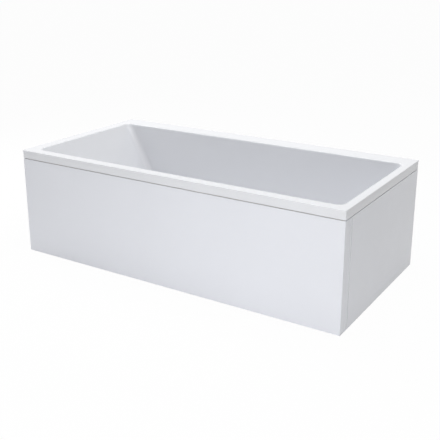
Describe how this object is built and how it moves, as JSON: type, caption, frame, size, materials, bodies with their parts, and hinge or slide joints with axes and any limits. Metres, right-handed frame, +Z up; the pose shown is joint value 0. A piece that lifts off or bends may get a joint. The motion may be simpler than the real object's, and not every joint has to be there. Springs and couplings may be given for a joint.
{
  "type": "alcove bathtub",
  "caption": "Straight alcove bathtub with a sloping backrest, a wide rim, panels that pull off its front and foot end, levelling feet, and an overflow knob that lifts the plug.",
  "frame": {"origin": "on the floor, under the middle of the bath's outline in plan", "axes": "+X along the bath from the head (sloping backrest) to the foot (waste and overflow), +Y from the panelled front to the wall at the back, +Z up"},
  "size_m": [1.524, 0.762, 0.47],
  "materials": {
    "bath_acrylic": "gloss",
    "panel_acrylic": "gloss",
    "particle_board": "raw",
    "timber": "sawn",
    "panel_board": "raw",
    "frame_paint": "satin",
    "zinc_steel": "satin",
    "magnet_steel": "satin",
    "foot_plastic": "matt",
    "chrome": "polished",
    "brass": "satin",
    "seal_rubber": "matt",
    "pipe_plastic": "matt",
    "cable_sleeve": "matt"
  },
  "bodies": {
    "bath": {"bath_shell": "bath_acrylic", "base_board": "particle_board", "rim_batten_front": "timber", "rim_batten_back": "timber", "rim_batten_head": "timber", "rim_batten_foot": "timber", "frame_rail_front": "frame_paint", "frame_rail_back": "frame_paint", "frame_rail_head": "frame_paint", "frame_rail_foot": "frame_paint", "frame_cross_head": "frame_paint", "frame_cross_middle": "frame_paint", "frame_cross_foot": "frame_paint", "frame_post_front_head": "frame_paint", "frame_post_front_foot": "frame_paint", "frame_post_back_head": "frame_paint", "frame_post_back_foot": "frame_paint", "board_screws": "zinc_steel", "leg_nuts": "zinc_steel", "corner_strip": "panel_acrylic", "panel_magnets_front": "magnet_steel", "panel_magnets_end": "magnet_steel", "wall_brackets": "zinc_steel", "wall_bracket_screws": "zinc_steel", "waste_top_seal": "seal_rubber", "waste_flange": "chrome", "waste_under_seal": "seal_rubber", "waste_body": "pipe_plastic", "trap_seal": "seal_rubber", "trap_nut": "pipe_plastic", "trap_body": "pipe_plastic", "overflow_seal": "seal_rubber", "overflow_body": "pipe_plastic", "overflow_faceplate": "chrome", "overflow_screws": "zinc_steel", "overflow_pipe": "pipe_plastic", "control_cable": "cable_sleeve"},
    "front_panel_set": {"front_panel": "panel_acrylic", "front_panel_stiffeners": "panel_board", "panel_strikes_front": "magnet_steel"},
    "end_panel_set": {"end_panel": "panel_acrylic", "end_panel_stiffener": "panel_board", "panel_strikes_end": "magnet_steel"},
    "foot_front_head": {"leg_rod_front_head": "zinc_steel", "foot_pad_front_head": "foot_plastic"},
    "foot_front_foot": {"leg_rod_front_foot": "zinc_steel", "foot_pad_front_foot": "foot_plastic"},
    "foot_back_head": {"leg_rod_back_head": "zinc_steel", "foot_pad_back_head": "foot_plastic"},
    "foot_back_foot": {"leg_rod_back_foot": "zinc_steel", "foot_pad_back_foot": "foot_plastic"},
    "knob": {"overflow_knob": "chrome", "knob_spindle": "brass"},
    "plug": {"plug_cap": "chrome", "plug_seal": "seal_rubber", "plug_stem": "brass"}
  },
  "joints": [
    {"name": "front_panel_pull", "type": "slide", "parent": "bath", "child": "front_panel_set", "axis": [0, -1, 0], "range_m": [0, 0.3]},
    {"name": "end_panel_pull", "type": "slide", "parent": "bath", "child": "end_panel_set", "axis": [1, 0, 0], "range_m": [0, 0.3]},
    {"name": "foot_height_front_head", "type": "slide", "parent": "bath", "child": "foot_front_head", "axis": [0, 0, 1], "range_m": [-0.015, 0.015]},
    {"name": "foot_height_front_foot", "type": "slide", "parent": "bath", "child": "foot_front_foot", "axis": [0, 0, 1], "range_m": [-0.015, 0.015]},
    {"name": "foot_height_back_head", "type": "slide", "parent": "bath", "child": "foot_back_head", "axis": [0, 0, 1], "range_m": [-0.015, 0.015]},
    {"name": "foot_height_back_foot", "type": "slide", "parent": "bath", "child": "foot_back_foot", "axis": [0, 0, 1], "range_m": [-0.015, 0.015]},
    {"name": "knob_turn", "type": "hinge", "parent": "bath", "child": "knob", "pos_m": [0.71718, -0.023, 0.39], "axis": [0.9925, 0, -0.1219], "range_deg": [0, 90]},
    {"name": "plug_lift", "type": "slide", "parent": "bath", "child": "plug", "axis": [0, 0, 1], "range_m": [0, 0.01]}
  ],
  "couplings": [
    {"joint": "plug_lift", "follows": "knob_turn", "m_per_rad": 0.006366}
  ]
}
